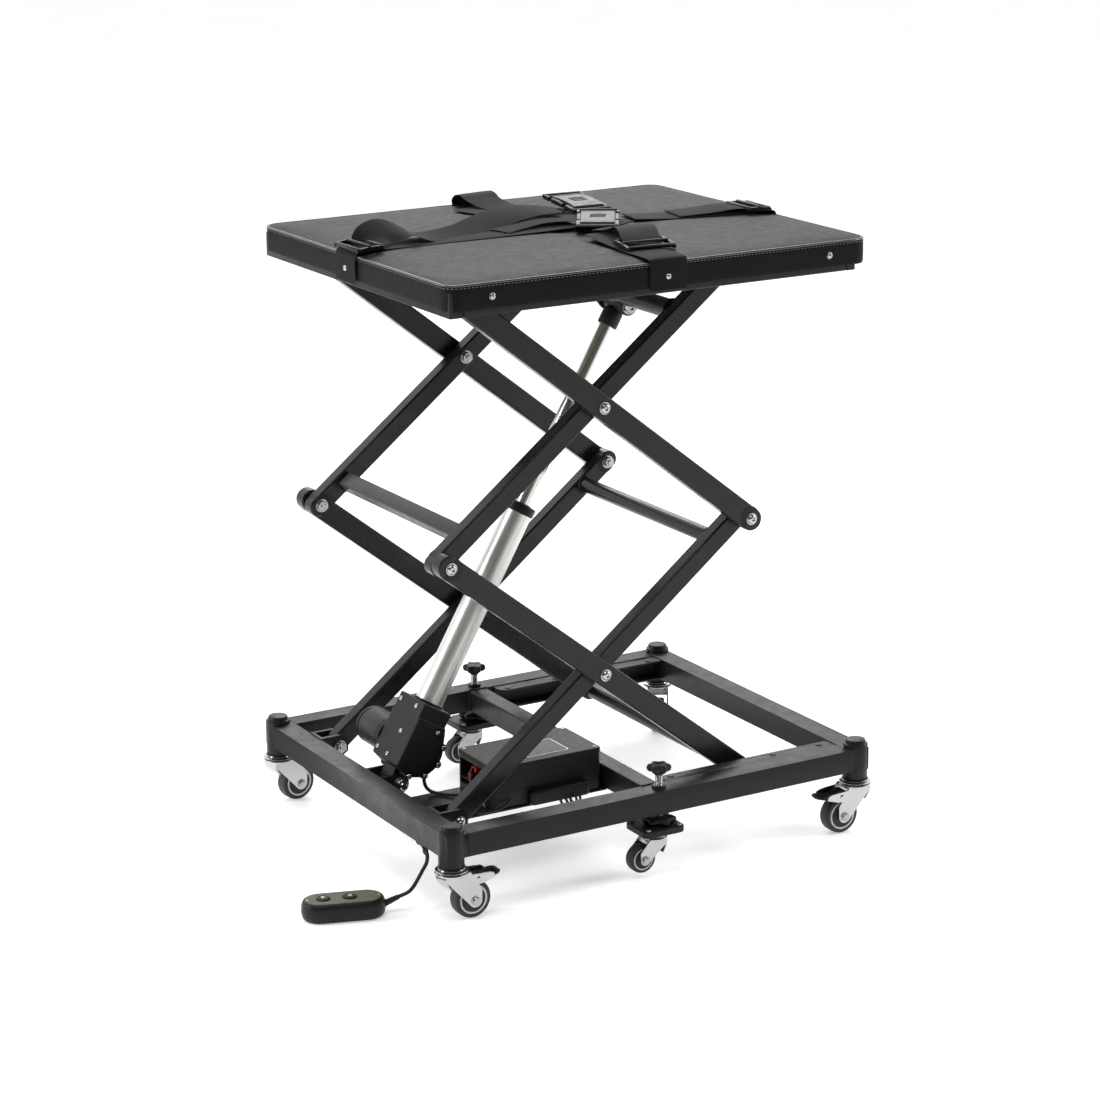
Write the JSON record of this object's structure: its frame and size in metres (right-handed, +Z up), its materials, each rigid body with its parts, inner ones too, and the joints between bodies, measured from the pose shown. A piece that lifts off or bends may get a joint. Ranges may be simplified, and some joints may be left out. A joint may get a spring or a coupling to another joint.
{
  "type": "lab jack",
  "caption": "Electric double scissor lifting platform: tubular base on swivel casters, crossed arms, linear actuator, padded deck with straps and a wired handset.",
  "frame": {"origin": "centre of the footprint on the floor, without the handset lead", "axes": "+X to the right along the base's long side, +Y to the back, +Z up; the handset lies at the left front"},
  "size_m": [0.7734, 0.526, 0.7969],
  "materials": {
    "frame_paint": "satin black powder coat",
    "arm_paint": "smooth satin black powder coat",
    "track_steel": "satin dark grey paint",
    "chrome": "bright chrome plate",
    "tyre": "dark grey polyurethane",
    "black_plastic": "fine matt black moulding",
    "aluminium": "satin anodised",
    "rod_steel": "ground and plated rod",
    "leather": "black grained upholstery",
    "webbing": "black woven webbing",
    "nylon": "natural nylon",
    "button": "grey green rubber",
    "cable": "black cable sheath"
  },
  "bodies": {
    "base": {"base_front_tube": "frame_paint", "base_rear_tube": "frame_paint", "base_left_end": "frame_paint", "base_right_end": "frame_paint", "base_crossmember": "frame_paint", "control_tray": "frame_paint", "roller_track_front": "track_steel", "roller_track_rear": "track_steel", "control_box": "black_plastic", "lead_coil": "cable", "handset_lead": "cable", "handset_body": "black_plastic"},
    "lower_inner_frame": {"lower_inner_arm_front": "arm_paint", "lower_inner_arm_rear": "arm_paint", "lower_inner_crossbar": "arm_paint"},
    "lower_outer_frame": {"lower_outer_arm_front": "arm_paint", "lower_outer_arm_rear": "arm_paint", "lower_outer_axle": "arm_paint"},
    "upper_outer_frame": {"upper_outer_arm_front": "arm_paint", "upper_outer_arm_rear": "arm_paint"},
    "upper_inner_frame": {"upper_inner_arm_front": "arm_paint", "upper_inner_arm_rear": "arm_paint", "upper_inner_crossbar": "arm_paint", "actuator_crossbar": "arm_paint"},
    "platform": {"platform_front_rail": "frame_paint", "platform_rear_rail": "frame_paint", "platform_left_end": "frame_paint", "platform_right_end": "frame_paint", "top_track_front": "track_steel", "top_track_rear": "track_steel", "pad": "leather", "strap_harness": "webbing"},
    "actuator_body": {"actuator_gearbox": "black_plastic", "actuator_motor": "black_plastic", "actuator_tube": "aluminium"},
    "actuator_rod": {"actuator_rod": "rod_steel"},
    "base_roller_front": {"base_roller_front": "nylon"},
    "top_roller_front": {"top_roller_front": "nylon"},
    "base_roller_rear": {"base_roller_rear": "nylon"},
    "top_roller_rear": {"top_roller_rear": "nylon"},
    "caster_fork_fl": {"caster_fork_fl": "chrome"},
    "caster_wheel_fl": {"caster_wheel_fl": "tyre"},
    "brake_pedal_fl": {"brake_pedal_fl": "black_plastic"},
    "caster_fork_fr": {"caster_fork_fr": "chrome"},
    "caster_wheel_fr": {"caster_wheel_fr": "tyre"},
    "brake_pedal_fr": {"brake_pedal_fr": "black_plastic"},
    "caster_fork_bl": {"caster_fork_bl": "chrome"},
    "caster_wheel_bl": {"caster_wheel_bl": "tyre"},
    "caster_fork_br": {"caster_fork_br": "chrome"},
    "caster_wheel_br": {"caster_wheel_br": "tyre"},
    "leg_knob_front": {"leg_knob_front": "black_plastic"},
    "leg_foot_front": {"leg_foot_front": "black_plastic"},
    "leg_fork_front": {"leg_fork_front": "chrome"},
    "leg_wheel_front": {"leg_wheel_front": "tyre"},
    "leg_knob_rear": {"leg_knob_rear": "black_plastic"},
    "leg_foot_rear": {"leg_foot_rear": "black_plastic"},
    "leg_fork_rear": {"leg_fork_rear": "chrome"},
    "leg_wheel_rear": {"leg_wheel_rear": "tyre"},
    "handset_button_up": {"handset_button_up": "button"},
    "handset_button_down": {"handset_button_down": "button"}
  },
  "joints": [
    {"name": "lift", "type": "hinge", "parent": "base", "child": "lower_inner_frame", "pos_m": [-0.18416, 0, 0.0975], "axis": [0, -1, 0], "range_deg": [-28.3, 0]},
    {"name": "lower_cross", "type": "hinge", "parent": "lower_inner_frame", "child": "lower_outer_frame", "pos_m": [0.01635, 0, 0.25585], "axis": [0, -1, 0], "range_deg": [0, 56.6]},
    {"name": "middle_cross", "type": "hinge", "parent": "lower_inner_frame", "child": "upper_outer_frame", "pos_m": [0.23083, 0, 0.42524], "axis": [0, -1, 0], "range_deg": [0, 56.6]},
    {"name": "upper_cross", "type": "hinge", "parent": "upper_outer_frame", "child": "upper_inner_frame", "pos_m": [0.01635, 0, 0.59462], "axis": [0, -1, 0], "range_deg": [-56.6, 0]},
    {"name": "platform_hinge", "type": "hinge", "parent": "upper_outer_frame", "child": "platform", "pos_m": [-0.18416, 0, 0.75298], "axis": [0, -1, 0], "range_deg": [-28.3, 0]},
    {"name": "actuator_tilt", "type": "hinge", "parent": "base", "child": "actuator_body", "pos_m": [-0.18416, 0, 0.0975], "axis": [0, -1, 0], "range_deg": [-40.19, 0]},
    {"name": "actuator_stroke", "type": "slide", "parent": "actuator_body", "child": "actuator_rod", "axis": [0.504, 0, 0.8637], "range_m": [-0.23429, 0]},
    {"name": "base_roller_spin_front", "type": "hinge", "parent": "lower_outer_frame", "child": "base_roller_front", "pos_m": [0.21686, -0.2085, 0.0975], "axis": [0, 1, 0], "continuous": true},
    {"name": "top_roller_spin_front", "type": "hinge", "parent": "upper_inner_frame", "child": "top_roller_front", "pos_m": [0.21686, -0.1825, 0.75298], "axis": [0, 1, 0], "continuous": true},
    {"name": "base_roller_spin_rear", "type": "hinge", "parent": "lower_outer_frame", "child": "base_roller_rear", "pos_m": [0.21686, 0.2085, 0.0975], "axis": [0, 1, 0], "continuous": true},
    {"name": "top_roller_spin_rear", "type": "hinge", "parent": "upper_inner_frame", "child": "top_roller_rear", "pos_m": [0.21686, 0.1825, 0.75298], "axis": [0, 1, 0], "continuous": true},
    {"name": "caster_swivel_fl", "type": "hinge", "parent": "base", "child": "caster_fork_fl", "pos_m": [-0.22926, -0.2395, 0.062], "axis": [0, 0, 1], "continuous": true},
    {"name": "caster_roll_fl", "type": "hinge", "parent": "caster_fork_fl", "child": "caster_wheel_fl", "pos_m": [-0.20426, -0.2395, 0.0245], "axis": [0, 1, 0], "continuous": true},
    {"name": "brake_press_fl", "type": "hinge", "parent": "caster_fork_fl", "child": "brake_pedal_fl", "pos_m": [-0.20726, -0.2395, 0.0525], "axis": [0, -1, 0], "range_deg": [0, 14]},
    {"name": "caster_swivel_fr", "type": "hinge", "parent": "base", "child": "caster_fork_fr", "pos_m": [0.36574, -0.2395, 0.062], "axis": [0, 0, 1], "continuous": true},
    {"name": "caster_roll_fr", "type": "hinge", "parent": "caster_fork_fr", "child": "caster_wheel_fr", "pos_m": [0.34074, -0.2395, 0.0245], "axis": [0, -1, 0], "continuous": true},
    {"name": "brake_press_fr", "type": "hinge", "parent": "caster_fork_fr", "child": "brake_pedal_fr", "pos_m": [0.34374, -0.2395, 0.0525], "axis": [0, 1, 0], "range_deg": [0, 14]},
    {"name": "caster_swivel_bl", "type": "hinge", "parent": "base", "child": "caster_fork_bl", "pos_m": [-0.22926, 0.2395, 0.062], "axis": [0, 0, 1], "continuous": true},
    {"name": "caster_roll_bl", "type": "hinge", "parent": "caster_fork_bl", "child": "caster_wheel_bl", "pos_m": [-0.2045, 0.24298, 0.0245], "axis": [-0.1392, 0.9903, 0], "continuous": true},
    {"name": "caster_swivel_br", "type": "hinge", "parent": "base", "child": "caster_fork_br", "pos_m": [0.36574, 0.2395, 0.062], "axis": [0, 0, 1], "continuous": true},
    {"name": "caster_roll_br", "type": "hinge", "parent": "caster_fork_br", "child": "caster_wheel_br", "pos_m": [0.35324, 0.21785, 0.0245], "axis": [0.866, -0.5, 0], "continuous": true},
    {"name": "leg_lift_front", "type": "slide", "parent": "base", "child": "leg_foot_front", "axis": [0, 0, 1], "range_m": [-0.0045, 0.0045]},
    {"name": "leg_screw_front", "type": "hinge", "parent": "leg_foot_front", "child": "leg_knob_front", "pos_m": [0.06724, -0.237, 0.137], "axis": [0, 0, 1], "range_deg": [-1081, 1081]},
    {"name": "leg_swivel_front", "type": "hinge", "parent": "leg_foot_front", "child": "leg_fork_front", "pos_m": [0.06074, -0.237, 0.055], "axis": [0, 0, 1], "continuous": true},
    {"name": "leg_roll_front", "type": "hinge", "parent": "leg_fork_front", "child": "leg_wheel_front", "pos_m": [0.04014, -0.237, 0.024], "axis": [0, 1, 0], "continuous": true},
    {"name": "leg_lift_rear", "type": "slide", "parent": "base", "child": "leg_foot_rear", "axis": [0, 0, 1], "range_m": [-0.0045, 0.0045]},
    {"name": "leg_screw_rear", "type": "hinge", "parent": "leg_foot_rear", "child": "leg_knob_rear", "pos_m": [0.06724, 0.237, 0.137], "axis": [0, 0, 1], "range_deg": [-1081, 1081]},
    {"name": "leg_swivel_rear", "type": "hinge", "parent": "leg_foot_rear", "child": "leg_fork_rear", "pos_m": [0.06074, 0.237, 0.055], "axis": [0, 0, 1], "continuous": true},
    {"name": "leg_roll_rear", "type": "hinge", "parent": "leg_fork_rear", "child": "leg_wheel_rear", "pos_m": [0.04014, 0.237, 0.024], "axis": [0, 1, 0], "continuous": true},
    {"name": "button_press_up", "type": "slide", "parent": "base", "child": "handset_button_up", "axis": [0, 0, -1], "range_m": [0, 0.001], "stiffness_N_per_m": 300, "springref_m": -0.0005},
    {"name": "button_press_down", "type": "slide", "parent": "base", "child": "handset_button_down", "axis": [0, 0, -1], "range_m": [0, 0.001], "stiffness_N_per_m": 300, "springref_m": -0.0005}
  ],
  "couplings": [
    {"joint": "lower_cross", "follows": "lift", "ratio": -2},
    {"joint": "middle_cross", "follows": "lift", "ratio": -2},
    {"joint": "upper_cross", "follows": "lift", "ratio": 2},
    {"joint": "platform_hinge", "follows": "lift", "ratio": 1},
    {"joint": "actuator_tilt", "follows": "lift", "ratio": 1.4185},
    {"joint": "actuator_stroke", "follows": "lift", "m_per_rad": 0.47332},
    {"joint": "leg_screw_front", "follows": "leg_lift_front", "rad_per_m": 4188.8},
    {"joint": "leg_screw_rear", "follows": "leg_lift_rear", "rad_per_m": 4188.8}
  ]
}
